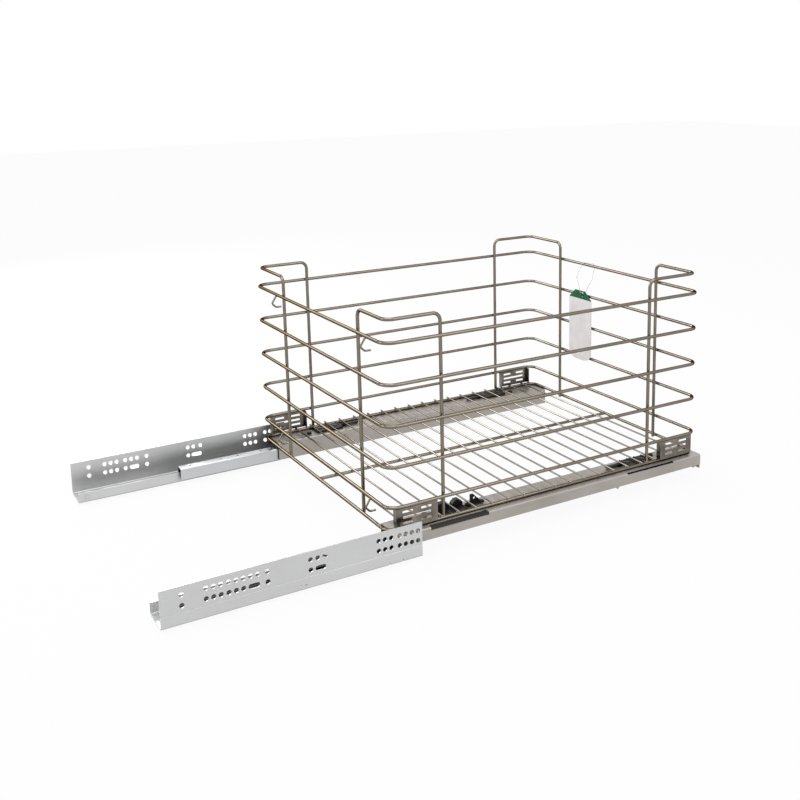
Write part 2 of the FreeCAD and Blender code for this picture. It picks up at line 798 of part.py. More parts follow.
def adjusters():
    """Round-headed adjusting screws beside the clips."""
    screws = []
    for sx in (-1, 1):
        for sy in (-1, 1):
            x = sx * adjuster_x
            y = sy * adjuster_y
            shank = rod((x, y, under_drawer), (0, 0, 1), sheet, adjuster_d - pin_clear)
            head = rod((x, y, drawer_top), (0, 0, 1), adjuster_head_h, adjuster_head_d)
            screws.append(join([shank, head]))
    return Part.makeCompound(screws)


def ticket():
    """Plain swing ticket with a tapered top and a slot for its loop."""
    y = ticket_y - ticket_t / 2
    high = ring_z[-1] - ticket_drop
    low = high - ticket_h
    half = ticket_w / 2
    half_top = ticket_top_w / 2
    outline = [
        (ticket_x - half, y, low),
        (ticket_x - half, y, high - ticket_shoulder),
        (ticket_x - half_top, y, high),
        (ticket_x + half_top, y, high),
        (ticket_x + half, y, high - ticket_shoulder),
        (ticket_x + half, y, low),
    ]
    card = prism(outline, (0, ticket_t, 0))
    corners = []
    for edge in card.Edges:
        middle = edge.valueAt((edge.FirstParameter + edge.LastParameter) / 2)
        along = edge.tangentAt(edge.FirstParameter)
        if abs(along.y) > 0.9 and middle.z < low + ticket_t:
            corners.append(edge)
    card = card.makeFillet(ticket_corner, corners)
    half_slot = ticket_slot_w / 2
    z0 = high - ticket_slot_h
    z1 = high - ticket_slot_top
    return card.cut(box(loop_x - half_slot, loop_x + half_slot, y - ticket_t, y + 2 * ticket_t, z0, z1))


def ticket_loop():
    """Moulded loop that hangs the ticket from the top ring's front wire."""
    top = ring_z[-1]
    around = wire_r + loop_r + loop_clear
    beside = ticket_t / 2 + loop_r + loop_clear
    mid = top - ticket_drop / 2
    low = top - ticket_drop - ticket_slot_top - loop_r - loop_rise
    top_x = loop_x - loop_lean
    mid_x = loop_x - loop_lean / 2
    points = [
        (loop_x + loop_slit, ticket_y, low),
        (loop_x + loop_half_low, ticket_y + beside, low),
        (mid_x + loop_half_mid, ticket_y + beside, mid),
        (top_x + loop_half_top, -half_d + around, top + around),
        (top_x - loop_half_top, -half_d - around, top + around),
        (top_x - loop_half_under, -half_d - around, top - around),
        (mid_x - loop_half_mid, ticket_y - beside, mid),
        (loop_x - loop_half_low, ticket_y - beside, low),
        (loop_x - loop_slit, ticket_y, low),
    ]
    return tube(bent_edges(points, [loop_bend] * len(points)), loop_d)


for side in ("left", "right"):
    save("cabinet_rail_" + side, put(cabinet_rail(side), side))
    save("middle_rail_" + side, put(middle_rail(), side))
    save("drawer_rail_" + side, put(drawer_rail(), side))
    save("lower_cage_" + side, put(lower_cage(), side))
    save("lower_balls_" + side, put(lower_balls(), side))
    save("lip_rollers_" + side, put(lip_rollers(), side))
    save("upper_cage_" + side, put(upper_cage(), side))
    save("upper_rollers_" + side, put(upper_rollers(), side))
    save("closing_unit_" + side, put(closing_unit(), side))
    save("striker_pin_" + side, put(striker(), side))
    save("guide_buttons_" + side, put(guide_buttons(), side))
    for end_name, end in (("front", -1), ("rear", 1)):
        released = side == "left" and end_name == "rear"
        save("clip_%s_%s" % (end_name, side), put(clip_body(end, released), side))
        save("clip_lever_%s_%s" % (end_name, side), put(clip_lever(end, released), side))
save("lip_rivets", Part.makeCompound([put(lip_rivet(), "left"), put(lip_rivet())]))
save("clip_pins", put(clip_pins()))
save("clip_rivets", put(clip_rivets()))
save("adjusting_screws", put(adjusters()))
save("swing_ticket", put(ticket()))
save("ticket_loop", put(ticket_loop()))
print(len(made), "nodes;", "basket middle at Y", round(basket_y, 3), "floor frame at Z", frame_z)
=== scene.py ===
# %% [markdown]
# # A pull-out wire basket trolley
#
# The object is a wire basket on two telescopic slides, drawn out of a kitchen cabinet.
# Its solids come packed from CAD, and this lesson dresses them. Wires are bent again from
# points, sheet parts get softened edges, and every finish is made of shader nodes.

import json
import math

import bmesh
import bpy
from mathutils import Matrix, Vector


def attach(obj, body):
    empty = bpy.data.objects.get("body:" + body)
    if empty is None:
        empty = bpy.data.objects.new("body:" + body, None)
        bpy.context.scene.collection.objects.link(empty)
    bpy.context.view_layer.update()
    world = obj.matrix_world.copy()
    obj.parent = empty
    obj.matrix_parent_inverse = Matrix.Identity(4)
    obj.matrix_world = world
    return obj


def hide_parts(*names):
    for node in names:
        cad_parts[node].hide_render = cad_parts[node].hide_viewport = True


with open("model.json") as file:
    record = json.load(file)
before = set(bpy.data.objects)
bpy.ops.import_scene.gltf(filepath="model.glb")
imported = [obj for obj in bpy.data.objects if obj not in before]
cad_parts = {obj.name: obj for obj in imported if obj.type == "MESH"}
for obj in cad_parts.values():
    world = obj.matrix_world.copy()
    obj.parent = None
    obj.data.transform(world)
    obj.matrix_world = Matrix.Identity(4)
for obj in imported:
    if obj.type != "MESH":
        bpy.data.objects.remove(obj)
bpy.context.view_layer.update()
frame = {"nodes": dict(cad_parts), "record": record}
nodes = frame["nodes"]
record = frame["record"]
body_of_node = {}
for body, members in record["behaviour"]["bodies"].items():
    for member in members:
        body_of_node[member] = body

# %% [markdown]
# All sizes below are in millimetres, counted from the middle of the basket, because that is
# how the wires are laid out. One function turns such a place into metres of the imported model.

# %% Places
BASKET_MIDDLE_Y = -139.75
HALF_W = 207.0
HALF_D = 250.0
WIRE = 4.5
ROD = 2.5
FLOOR_HALF_W = HALF_W - WIRE
FRAME_Z = 34.0
DRAWER_TOP = 31.75
RINGS = [64.0, 115.5, 167.0, 218.5, 270.0]


def place(x, y, z):
    """A point in millimetres from the basket's middle, as a vector in metres."""
    return Vector((x, y + BASKET_MIDDLE_Y, z)) / 1000


def settle(obj, node):
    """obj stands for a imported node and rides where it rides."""
    obj.name = "drawn_" + node
    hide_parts(node)
    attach(obj, body_of_node[node])
    return obj


def deselect():
    if bpy.context.object and bpy.context.object.mode != "OBJECT":
        bpy.ops.object.mode_set(mode="OBJECT")
    bpy.ops.object.select_all(action="DESELECT")


def only(obj):
    deselect()
    obj.select_set(True)
    bpy.context.view_layer.objects.active = obj
    return obj


def merge_pieces(pieces):
    """Joins several meshes into the first one."""
    deselect()
    for piece in pieces:
        piece.select_set(True)
    bpy.context.view_layer.objects.active = pieces[0]
    if len(pieces) > 1:
        bpy.ops.object.join()
    return bpy.context.object


print("basket", 2 * HALF_W, "x", 2 * HALF_D, "mm, rings at", RINGS)

# %% [markdown]
# ## Finishes
#
# Plated wire, zinc and moulded plastic all vary a little from place to place. Painting that on by
# hand would tie it to one mesh, so four shader groups make it, the last of them painting shade into
# hollows, and every material below uses them with its own numbers. The first helpers make a group
# with named sockets, a sum, and a blend.

# %% Helpers for shader nodes
def new_group(name, inputs, outputs):
    group = bpy.data.node_groups.new(name, "ShaderNodeTree")
    for label, kind, value in inputs:
        made = group.interface.new_socket(label, in_out="INPUT", socket_type=kind)
        made.default_value = value
    for label, kind in outputs:
        group.interface.new_socket(label, in_out="OUTPUT", socket_type=kind)
    enter = group.nodes.new("NodeGroupInput")
    leave = group.nodes.new("NodeGroupOutput")
    return group, enter, leave


def feed(tree, socket, value):
    """Links a socket into another, or writes a plain value there."""
    if isinstance(value, bpy.types.NodeSocket):
        tree.links.new(value, socket)
    else:
        socket.default_value = value


def math_node(tree, kind, *values):
    node = tree.nodes.new("ShaderNodeMath")
    node.operation = kind
    for socket, value in zip(node.inputs, values):
        feed(tree, socket, value)
    return node.outputs[0]


def spread_node(tree, value, low, high, to_low, to_high):
    """Stretches the span low..high of a value over to_low..to_high, held at both ends."""
    node = tree.nodes.new("ShaderNodeMapRange")
    for label, given in (
        ("Value", value),
        ("From Min", low),
        ("From Max", high),
        ("To Min", to_low),
        ("To Max", to_high),
    ):
        feed(tree, node.inputs[label], given)
    return node.outputs[0]


def blend_node(tree, share, first, second):
    node = tree.nodes.new("ShaderNodeMix")
    node.data_type = "RGBA"
    factor, colour_a, colour_b = node.inputs[0], node.inputs[6], node.inputs[7]
    for socket, value in ((factor, share), (colour_a, first), (colour_b, second)):
        feed(tree, socket, value)
    return node.outputs[2]


print("materials before", len(bpy.data.materials))

# %% [markdown]
# The first group is for colour. Plating never has one even tone, so two tones drift into each
# other in soft clouds whose size is set by Scale.

# %% Colour that drifts
drift, enter, leave = new_group(
    "colour_drift",
    [
        ("Light", "NodeSocketColor", (0.8, 0.8, 0.8, 1)),
        ("Dark", "NodeSocketColor", (0.5, 0.5, 0.5, 1)),
        ("Scale", "NodeSocketFloat", 20.0),
    ],
    [("Colour", "NodeSocketColor")],
)
where = drift.nodes.new("ShaderNodeTexCoord")
cloud = drift.nodes.new("ShaderNodeTexNoise")
cloud.inputs["Detail"].default_value = 4.0
drift.links.new(where.outputs["Object"], cloud.inputs["Vector"])
drift.links.new(enter.outputs["Scale"], cloud.inputs["Scale"])
tone = spread_node(drift, cloud.outputs["Fac"], 0.3, 0.7, 0.0, 1.0)
tone = blend_node(drift, tone, enter.outputs["Dark"], enter.outputs["Light"])
drift.links.new(tone, leave.inputs["Colour"])
print("group", drift.name, "nodes", len(drift.nodes))

# %% [markdown]
# The second group is the fine grain that breaks up a reflection. Rolled sheet has grain that
# runs along the strip, so Stretch squeezes the pattern along one axis.

# %% Grain
grain, enter, leave = new_group(
    "surface_grain",
    [
        ("Stretch", "NodeSocketVector", (1.0, 1.0, 1.0)),
        ("Scale", "NodeSocketFloat", 400.0),
        ("Smooth", "NodeSocketFloat", 0.25),
        ("Rough", "NodeSocketFloat", 0.40),
    ],
    [("Roughness", "NodeSocketFloat"), ("Height", "NodeSocketFloat")],
)
where = grain.nodes.new("ShaderNodeTexCoord")
stretch = grain.nodes.new("ShaderNodeVectorMath")
stretch.operation = "MULTIPLY"
fine = grain.nodes.new("ShaderNodeTexNoise")
fine.inputs["Detail"].default_value = 3.0
grain.links.new(where.outputs["Object"], stretch.inputs[0])
grain.links.new(enter.outputs["Stretch"], stretch.inputs[1])
grain.links.new(stretch.outputs[0], fine.inputs["Vector"])
grain.links.new(enter.outputs["Scale"], fine.inputs["Scale"])
smooth, rough = enter.outputs["Smooth"], enter.outputs["Rough"]
roughness = spread_node(grain, fine.outputs["Fac"], 0.3, 0.7, smooth, rough)
grain.links.new(roughness, leave.inputs["Roughness"])
grain.links.new(fine.outputs["Fac"], leave.inputs["Height"])
print("group", grain.name, "nodes", len(grain.nodes))

# %% [markdown]
# The third group finds edges. A bevel node looks at the surface a little way round each point,
# and where its normal turns away from the real one there is an edge, which handling rubs bright.

# %% Rubbed edges
rub, enter, leave = new_group(
    "edge_rub",
    [("Width", "NodeSocketFloat", 0.0004), ("Patches", "NodeSocketFloat", 150.0)],
    [("Mask", "NodeSocketFloat")],
)
around = rub.nodes.new("ShaderNodeBevel")
around.samples = 6
real = rub.nodes.new("ShaderNodeNewGeometry")
turned = rub.nodes.new("ShaderNodeVectorMath")
turned.operation = "DOT_PRODUCT"
where = rub.nodes.new("ShaderNodeTexCoord")
patch = rub.nodes.new("ShaderNodeTexNoise")
rub.links.new(enter.outputs["Width"], around.inputs["Radius"])
rub.links.new(around.outputs["Normal"], turned.inputs[0])
rub.links.new(real.outputs["Normal"], turned.inputs[1])
rub.links.new(where.outputs["Object"], patch.inputs["Vector"])
rub.links.new(enter.outputs["Patches"], patch.inputs["Scale"])
edge = spread_node(rub, turned.outputs["Value"], 0.99, 0.80, 0.0, 1.0)
patches = spread_node(rub, patch.outputs["Fac"], 0.3, 0.7, 0.35, 1.0)
rub.links.new(math_node(rub, "MULTIPLY", edge, patches), leave.inputs["Mask"])
print("group", rub.name, "nodes", len(rub.nodes))

# %% [markdown]
# The fourth group finds hollows. Inside the rails and where wires meet, little light gets in, so
# shade is painted there, and these places are darker than the open faces.

# %% Painted shade in hollows
hollow, enter, leave = new_group(
    "hollow_shade",
    [("Reach", "NodeSocketFloat", 0.08)],
    [("Mask", "NodeSocketFloat")],
)
# Painted shade: ambient occlusion finds the shut-in places, and the mask darkens them.
open_sky = hollow.nodes.new("ShaderNodeAmbientOcclusion")
open_sky.samples = 8
hollow.links.new(enter.outputs["Reach"], open_sky.inputs["Distance"])
shut_in = spread_node(hollow, open_sky.outputs["AO"], 0.42, 0.26, 0.0, 1.0)
hollow.links.new(shut_in, leave.inputs["Mask"])
print("groups", [group.name for group in (drift, grain, rub, hollow)])

# %% [markdown]
# One function puts the four groups together. It takes the two tones, the size of the clouds,
# the grain, and how much edges brighten and how much painted shade darkens the hollows. A material
# that needs more, such as clear plastic, names the shader's own sockets after these.

# %% A material from the groups
EDGE_GAIN, EDGE_LIFT = 1.35, 0.03
HOLLOW_SHARE = 0.25
RELIEF_DEPTH = 0.0001


def use_group(tree, group, **values):
    node = tree.nodes.new("ShaderNodeGroup")
    node.node_tree = group
    for label, value in values.items():
        node.inputs[label].default_value = value
    return node


def paint_rim_reflection(tree, colour, rim):
    """Paints a dark reflection: blends towards the rim colour where a wire turns away from the eye.
    """
    slant = tree.nodes.new("ShaderNodeLayerWeight")
    slant.inputs["Blend"].default_value = 0.5
    turned_away = spread_node(tree, slant.outputs["Facing"], 0.45, 0.95, 0.0, 1.0)
    return blend_node(tree, turned_away, colour, (*rim, 1))


def finish_of(
    name, light, dark, clouds, stretch, scale, smooth, rough, bump, metallic, edge, shade,
    rim=None, **constants,
):
    """Tones in clouds, grain from smooth to rough, edges brighter, and painted shade in hollows."""
    material = bpy.data.materials.new(name)
    material.use_nodes = True
    tree = material.node_tree
    shader = tree.nodes["Principled BSDF"]
    tones = use_group(tree, drift, Light=(*light, 1), Dark=(*dark, 1), Scale=clouds)
    texture = use_group(tree, grain, Stretch=stretch, Scale=scale, Smooth=smooth, Rough=rough)
    rubbed = math_node(tree, "MULTIPLY", use_group(tree, rub).outputs["Mask"], edge)
    # Painted shade: the hollow mask darkens the colour towards a dim tone.
    hollow_shade_mask = math_node(tree, "MULTIPLY", use_group(tree, hollow).outputs["Mask"], shade)
    bright = tuple(min(1.0, EDGE_GAIN * value + EDGE_LIFT) for value in light)
    hollow_shade_tone = tuple(HOLLOW_SHARE * value for value in dark)
    colour = blend_node(tree, rubbed, tones.outputs["Colour"], (*bright, 1))
    colour = blend_node(tree, hollow_shade_mask, colour, (*hollow_shade_tone, 1))
    # Painted reflection: the rim tone darkens the colour where the surface turns away from the eye.
    if rim:
        colour = paint_rim_reflection(tree, colour, rim)
    relief = tree.nodes.new("ShaderNodeBump")
    relief.inputs["Strength"].default_value = bump
    relief.inputs["Distance"].default_value = RELIEF_DEPTH
    tree.links.new(colour, shader.inputs["Base Color"])
    tree.links.new(texture.outputs["Roughness"], shader.inputs["Roughness"])
    tree.links.new(texture.outputs["Height"], relief.inputs["Height"])
    tree.links.new(relief.outputs["Normal"], shader.inputs["Normal"])
    shader.inputs["Metallic"].default_value = metallic
    for label, value in constants.items():
        shader.inputs[label.replace("_", " ")].default_value = value
    return material


print("shader groups ready to use", len(bpy.data.node_groups))

# %% [markdown]
# The basket's wire has a warm bright plating. A thin round wire mirrors the whole room in a few
# pixels, so its edges look dark brown with a light line between. The rim tone paints that dark
# reflection into the wire's colour at its edges. Welds were hot, so they are duller and rougher
# than the wire.

# %% Wire finishes
EVEN = (1, 1, 1)
plated_wire = finish_of(
    "plated_wire", light=(0.246, 0.212, 0.168), dark=(0.194, 0.167, 0.133),
    clouds=30, stretch=EVEN, scale=300, smooth=0.15, rough=0.21, bump=0.02,
    metallic=1.0, edge=0.0, shade=0.3, rim=(0.030, 0.024, 0.017),
    Specular_Tint=(0.25, 0.22, 0.18, 1),
)
# The floor rods carry the same plating. Their lighter tones and paler rim paint in the brighter
# reflections they show.
plated_rod_painted_highlight = finish_of(
    "plated_rod_painted_highlight", light=(0.40, 0.37, 0.325), dark=(0.33, 0.305, 0.27),
    clouds=30, stretch=EVEN, scale=300, smooth=0.15, rough=0.21, bump=0.02,
    metallic=1.0, edge=0.0, shade=0.3, rim=(0.06, 0.05, 0.04),
    Specular_Tint=(0.30, 0.27, 0.23, 1),
)
weld_metal = finish_of(
    "weld_metal", light=(0.52, 0.47, 0.42), dark=(0.36, 0.32, 0.28),
    clouds=300, stretch=EVEN, scale=900, smooth=0.35, rough=0.55, bump=0.25,
    metallic=1.0, edge=0.0, shade=0.6,
)
print("wire finishes", plated_wire.name, plated_rod_painted_highlight.name, weld_metal.name)

# %% [markdown]
# The slides are cold-rolled sheet: zinc on the cabinet and middle rails, a warmer grey on the
# drawer rails. Rolling leaves a grain along the strip, so the pattern is stretched along Y. The
# brackets are a darker plate whose grain stands upright; the wide spread of their tones also paints
# in the darker reflections they show.

# %% Sheet finishes
ALONG = (1, 0.04, 1)
UPRIGHT = (1, 1, 0.05)
zinc = finish_of(
    "zinc_plate", light=(0.615, 0.62, 0.615), dark=(0.57, 0.575, 0.57),
    clouds=9, stretch=ALONG, scale=500, smooth=0.34, rough=0.42, bump=0.03,
    metallic=0.8, edge=0.6, shade=0.5,
)
bright_zinc = finish_of(
    "bright_zinc", light=(0.60, 0.615, 0.62), dark=(0.54, 0.555, 0.56),
    clouds=9, stretch=ALONG, scale=500, smooth=0.28, rough=0.36, bump=0.03,
    metallic=1.0, edge=0.5, shade=0.9,
)
warm_grey = finish_of(
    "warm_grey_slide", light=(0.44, 0.407, 0.372), dark=(0.36, 0.333, 0.305),
    clouds=14, stretch=ALONG, scale=500, smooth=0.34, rough=0.44, bump=0.04,
    metallic=0.75, edge=0.5, shade=0.8,
)
# The wide gap between light and dark tones is partly the plate's own uneven tone and partly painted
# dark reflection.
bracket_plate = finish_of(
    "stainless_plate", light=(0.27, 0.24, 0.21), dark=(0.11, 0.098, 0.083),
    clouds=45, stretch=UPRIGHT, scale=800, smooth=0.16, rough=0.30, bump=0.05,
    metallic=1.0, edge=0.6, shade=0.8,
)
print("sheet finishes", zinc.name, bright_zinc.name, warm_grey.name, bracket_plate.name)

# %% [markdown]
# Little light reaches the channel where a slide's balls run and the part of the middle rail that
# never leaves the drawer rail. Both places look dark through the holes and windows of the sheet,
# so shade is painted there. They are found by position in the rail, and laid over the colour that
# the finish already has.

# %% Painted shade inside the rails
# Colours of the shade painted inside the rails.
CHANNEL_SHADE = (0.045, 0.038, 0.030, 1)
HIDDEN_RAIL_SHADE = (0.035, 0.030, 0.025, 1)
CHANNEL_SHADE_SHARE, CHANNEL_SHADE_FADE = 0.85, 0.010
HIDDEN_RAIL_SHADE_SHARE, HIDDEN_RAIL_SHADE_FADE = 0.92, 0.008
TRACK_INBOARD, TRACK_OUTBOARD, TRACK_TOP, TRACK_REAR = 179.5, 190.0, 8.5, 515
DRAWER_RAIL_END = 242.0


def axes_of(tree):
    """The object's own X, Y and Z as three sockets."""
    where = tree.nodes.new("ShaderNodeTexCoord")
    split = tree.nodes.new("ShaderNodeSeparateXYZ")
    tree.links.new(where.outputs["Object"], split.inputs[0])
    return split.outputs


def lay_over(material, share, colour):
    """Puts a colour over a finish's own colour, where share is above 0."""
    tree = material.node_tree
    base = tree.nodes["Principled BSDF"].inputs["Base Color"]
    tree.links.new(blend_node(tree, share, base.links[0].from_socket, colour), base)


def paint_channel_shade(material):
    """Paints shade on the balls' track: between lip and web, low down, short of the rear."""
    tree = material.node_tree
    axes = axes_of(tree)
    across = math_node(tree, "ABSOLUTE", axes["X"])
    past_lip = math_node(tree, "GREATER_THAN", across, TRACK_INBOARD / 1000)
    before_web = math_node(tree, "LESS_THAN", across, TRACK_OUTBOARD / 1000)
    low_down = math_node(tree, "LESS_THAN", axes["Z"], TRACK_TOP / 1000)
    rear_y = place(0, TRACK_REAR, 0).y
    short_of_rear = spread_node(tree, axes["Y"], rear_y, rear_y - CHANNEL_SHADE_FADE, 0.0, 1.0)
    shade_on_track = past_lip
    for factor in (before_web, low_down, short_of_rear, CHANNEL_SHADE_SHARE):
        shade_on_track = math_node(tree, "MULTIPLY", shade_on_track, factor)
    lay_over(material, shade_on_track, CHANNEL_SHADE)


def paint_shade_up_to(material, clean_y):
    """Paints shade on the part of a rail that always stays inside the next rail."""
    tree = material.node_tree
    painted_shade = spread_node(tree, axes_of(tree)["Y"], clean_y, clean_y - HIDDEN_RAIL_SHADE_FADE, 0.0, HIDDEN_RAIL_SHADE_SHARE)
    lay_over(material, painted_shade, HIDDEN_RAIL_SHADE)


# Painted shade in the cabinet rails' channels and on the hidden part of the middle rails.
paint_channel_shade(zinc)
paint_shade_up_to(bright_zinc, place(0, DRAWER_RAIL_END, 0).y)
# Where the shade painted on the middle rails ends.
print("oil ends at y", round(place(0, DRAWER_RAIL_END, 0).y, 4))

# %% [markdown]
# The clips are black moulded plastic, and the cages and glides are pale plastic. Moulded parts
# have a fine matt grain in every direction. The balls are polished steel, so they are smoothest.

# %% Plastics and small steel parts
black_plastic = finish_of(
    "black_moulding", light=(0.012, 0.011, 0.010), dark=(0.006, 0.006, 0.006),
    clouds=60, stretch=EVEN, scale=1500, smooth=0.36, rough=0.52, bump=0.30,
    metallic=0.0, edge=0.3, shade=0.5,
    Specular_IOR_Level=0.22,
)
cage_plastic = finish_of(
    "cage_plastic", light=(0.62, 0.61, 0.58), dark=(0.52, 0.51, 0.48),
    clouds=50, stretch=EVEN, scale=900, smooth=0.38, rough=0.55, bump=0.20,
    metallic=0.0, edge=0.4, shade=0.6,
)
bearing_steel = finish_of(
    "bearing_steel", light=(0.72, 0.72, 0.72), dark=(0.62, 0.62, 0.62),
    clouds=80, stretch=EVEN, scale=900, smooth=0.06, rough=0.14, bump=0.02,
    metallic=1.0, edge=0.0, shade=0.5,
)
dark_steel = finish_of(
    "dark_steel", light=(0.055, 0.052, 0.048), dark=(0.035, 0.033, 0.030),
    clouds=120, stretch=EVEN, scale=900, smooth=0.30, rough=0.42, bump=0.06,
    metallic=1.0, edge=0.4, shade=0.5,
)
clear_nylon = finish_of(
    "clear_nylon", light=(0.90, 0.90, 0.89), dark=(0.80, 0.80, 0.79),
    clouds=90, stretch=EVEN, scale=700, smooth=0.20, rough=0.35, bump=0.10,
    metallic=0.0, edge=0.0, shade=0.0,
    Transmission_Weight=0.6, IOR=1.5,
)
print("materials", len(bpy.data.materials))

# %% [markdown]
# The ticket is coated card, green over the tapered top and off-white below. It is one piece, so
# one finish has to hold both colours. A step along its height, read from the object's own place,
# splits them: anything above the band is green.

# %% Ticket card
TICKET_TOP, TICKET_TAPER = 226.5, 13.5
TICKET_BAND = TICKET_TOP - TICKET_TAPER
ticket_card = finish_of(
    "ticket_card", light=(0.73, 0.70, 0.69), dark=(0.66, 0.63, 0.62),
    clouds=60, stretch=EVEN, scale=900, smooth=0.42, rough=0.55, bump=0.10,
    metallic=0.0, edge=0.2, shade=0.2,
    Specular_IOR_Level=0.2,
)
tree = ticket_card.node_tree
above = math_node(tree, "GREATER_THAN", axes_of(tree)["Z"], TICKET_BAND / 1000)
light_green, dark_green = (0.001, 0.105, 0.040, 1), (0.001, 0.080, 0.029, 1)
green = use_group(tree, drift, Light=light_green, Dark=dark_green, Scale=70)
lay_over(ticket_card, above, green.outputs["Colour"])
print("green above z", TICKET_BAND, "mm")


# %% [markdown]
# Painting a piece clears what it had and gives it one material, which all its faces then use.

# %% Painting
def paint(obj, material):
    obj.data.materials.clear()
    obj.data.materials.append(material)
    return obj


print("finishes ready", [material.name for material in bpy.data.materials])

# %% [markdown]
# ## Wires
#
# A welded basket starts as straight wire that a machine bends. The same is done here: one
# vertex is extruded from corner to corner, the corners are bevelled to their bend radius,
# and the line becomes a curve whose round bevel is the wire. It is then turned into a mesh.

# %% Bending a wire
BEND_SEGMENTS = 8
SAME_SPOT = 1e-6


def bend_wire(name, corners, thickness, bends, closed=False, around=5):
    """A round wire through corner points; bends is one radius, or one for each corner."""
    deselect()
    bpy.ops.mesh.primitive_plane_add(size=0.001, location=corners[0])
    line = bpy.context.object
    bpy.ops.object.transform_apply(location=True, rotation=True, scale=True)
    bpy.ops.object.mode_set(mode="EDIT")
    bpy.ops.mesh.merge(type="CENTER")
    for here, there in zip(corners, corners[1:]):
        bpy.ops.mesh.extrude_vertices_move(TRANSFORM_OT_translate={"value": there - here})
    if closed:
        mesh = bmesh.from_edit_mesh(line.data)
        for vert in mesh.verts:
            vert.select = len(vert.link_edges) == 1
        bmesh.update_edit_mesh(line.data)
        bpy.ops.mesh.edge_face_add()
    radii = bends if isinstance(bends, (list, tuple)) else [bends] * len(corners)
    for corner, radius in zip(corners, radii):
        mesh = bmesh.from_edit_mesh(line.data)
        picked = 0
        for vert in mesh.verts:
            vert.select = len(vert.link_edges) == 2 and (vert.co - corner).length < 1e-5
            picked += vert.select
        mesh.select_flush_mode()
        bmesh.update_edit_mesh(line.data)
        if picked and radius:
            bpy.ops.mesh.bevel(
                offset=radius / 1000,
                offset_type="OFFSET",
                segments=BEND_SEGMENTS,
                affect="VERTICES",
            )
    bpy.ops.object.mode_set(mode="OBJECT")
    bpy.ops.object.convert(target="CURVE")
    line = bpy.context.object
    line.data.bevel_depth = thickness / 2000
    line.data.bevel_resolution = around
    line.data.use_fill_caps = not closed
    bpy.ops.object.convert(target="MESH")
    wire = bpy.context.object
    bpy.ops.object.mode_set(mode="EDIT")
    bpy.ops.mesh.select_all(action="SELECT")
    bpy.ops.mesh.remove_doubles(threshold=SAME_SPOT)
    bpy.ops.mesh.normals_make_consistent(inside=False)
    bpy.ops.object.mode_set(mode="OBJECT")
    bpy.ops.object.shade_smooth_by_angle(angle=math.radians(50))
    wire.name = name
    return wire


print("a bend has", BEND_SEGMENTS, "segments")

# %% [markdown]
# Where two wires cross they are pressed together hot, and a small bead squeezes out. Beads are
# what tells a welded basket from a drawing of one. One bead is modelled, then copied.

# %% Weld beads
def model_bead():
    deselect()
    bpy.ops.mesh.primitive_uv_sphere_add(segments=10, ring_count=6, radius=0.001)
    bead = bpy.context.object
    bpy.ops.object.mode_set(mode="EDIT")
    mesh = bmesh.from_edit_mesh(bead.data)
    for vert in mesh.verts:
        vert.select = vert.co.z > 0.0005
    mesh.select_flush_mode()
    bmesh.update_edit_mesh(bead.data)
    bpy.ops.transform.resize(value=(1.15, 0.9, 0.9))
    bpy.ops.object.mode_set(mode="OBJECT")
    bpy.ops.object.shade_smooth()
    return bead


pattern_bead = model_bead()


def add_bead(centre, size):
    """A copy of the bead, stretched to size (in millimetres, along X, Y and Z)."""
    only(pattern_bead)
    bpy.ops.object.duplicate()
    bead = bpy.context.object
    bead.location = centre
    bead.scale = size
    bpy.ops.object.transform_apply(location=True, rotation=True, scale=True)
    return bead


print("one bead has", len(pattern_bead.data.polygons), "faces")

# %% [markdown]
# Five closed rings make the walls, and a narrower one makes the floor frame, because it lies
# inside the posts' side legs. Each is one wire with the same bend in all four corners, so one
# function draws all six.

# %% Rings and floor frame
RING_CORNER = 16.0


def draw_ring(node, half_w, z):
    turns = ((half_w, -HALF_D), (half_w, HALF_D), (-half_w, HALF_D), (-half_w, -HALF_D))
    ring = bend_wire(node, [place(x, y, z) for x, y in turns], WIRE, RING_CORNER, closed=True)
    settle(paint(ring, plated_wire), node)


for i, z in enumerate(RINGS):
    draw_ring("ring_%d" % (i + 1), HALF_W, z)
draw_ring("floor_frame", FLOOR_HALF_W, FRAME_Z)
print("rings", len(RINGS), "and a floor frame")

# %% [markdown]
# Nineteen thin rods lie across the floor frame and stick out a millimetre past it. Each rod is a
# cylinder with its ends rounded over. A bead marks each weld to the frame and to the centre bar.

# %% Floor rods
ROD_COUNT, ROD_PITCH, ROD_PAST_FRAME = 19, 25.0, 1.0
FLOOR_BEAD = (1.9, 1.9, 0.6)


def model_rod():
    deselect()
    reach = FLOOR_HALF_W + WIRE / 2 + ROD_PAST_FRAME
    bpy.ops.mesh.primitive_cylinder_add(
        vertices=12, radius=ROD / 2000, depth=2 * reach / 1000, rotation=(0, math.pi / 2, 0)
    )
    rod = bpy.context.object
    bpy.ops.object.transform_apply(location=True, rotation=True, scale=True)
    bpy.ops.object.modifier_add(type="BEVEL")
    rod.modifiers[-1].width = 0.0004
    rod.modifiers[-1].segments = 2
    rod.modifiers[-1].limit_method = "ANGLE"
    rod.modifiers[-1].angle_limit = math.radians(60)
    bpy.ops.object.modifier_apply(modifier=rod.modifiers[-1].name)
    bpy.ops.object.shade_smooth_by_angle(angle=math.radians(50))
    return rod


